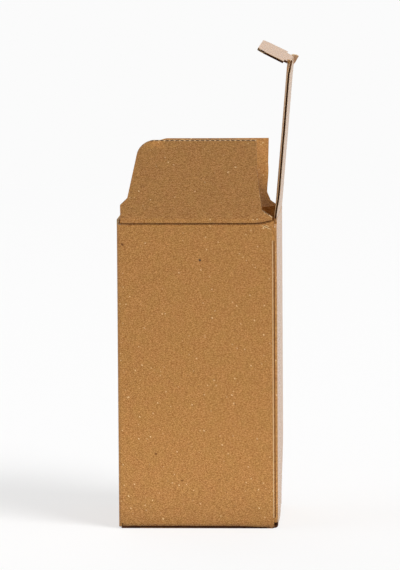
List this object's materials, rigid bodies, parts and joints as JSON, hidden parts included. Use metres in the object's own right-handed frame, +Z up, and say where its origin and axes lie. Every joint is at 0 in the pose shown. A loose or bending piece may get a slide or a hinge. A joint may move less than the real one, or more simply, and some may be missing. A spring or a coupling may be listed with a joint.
{
  "type": "tuck-top corrugated carton",
  "caption": "Tall square carton of brown corrugated board, standing open: hinged lid with a tuck flap, leaning dust flaps and a closed bottom, for packing goods.",
  "frame": {"origin": "centre of the closed bottom's outer face, on the surface that the box stands on", "axes": "+Z up along the box, +X towards the back panel that carries the lid, -Y towards the side panel with the glue seam"},
  "size_m": [0.1118, 0.1506, 0.3111],
  "materials": {
    "kraft_board": "matte recycled kraft paper"
  },
  "bodies": {
    "box": {"box_body": "kraft_board"},
    "lid": {"lid": "kraft_board"},
    "tuck": {"tuck_flap": "kraft_board"},
    "near_dust": {"near_dust_flap": "kraft_board"},
    "far_dust": {"far_dust_flap": "kraft_board"}
  },
  "joints": [
    {"name": "lid_fold", "type": "hinge", "parent": "box", "child": "lid", "pos_m": [0.0508, 0, 0.2014], "axis": [0, 1, 0], "range_deg": [-94.9, 85.1]},
    {"name": "tuck_fold", "type": "hinge", "parent": "lid", "child": "tuck", "pos_m": [0.05931, 0, 0.30064], "axis": [0, 1, 0], "range_deg": [-33.6, 30.1]},
    {"name": "near_dust_fold", "type": "hinge", "parent": "box", "child": "near_dust", "pos_m": [0, -0.0508, 0.1994], "axis": [1, 0, 0], "range_deg": [-103.5, 76.5]},
    {"name": "far_dust_fold", "type": "hinge", "parent": "box", "child": "far_dust", "pos_m": [0, 0.0508, 0.1994], "axis": [-1, 0, 0], "range_deg": [-131.2, 51.3]}
  ],
  "couplings": [
    {"joint": "tuck_fold", "follows": "lid_fold", "ratio": 0.353}
  ]
}
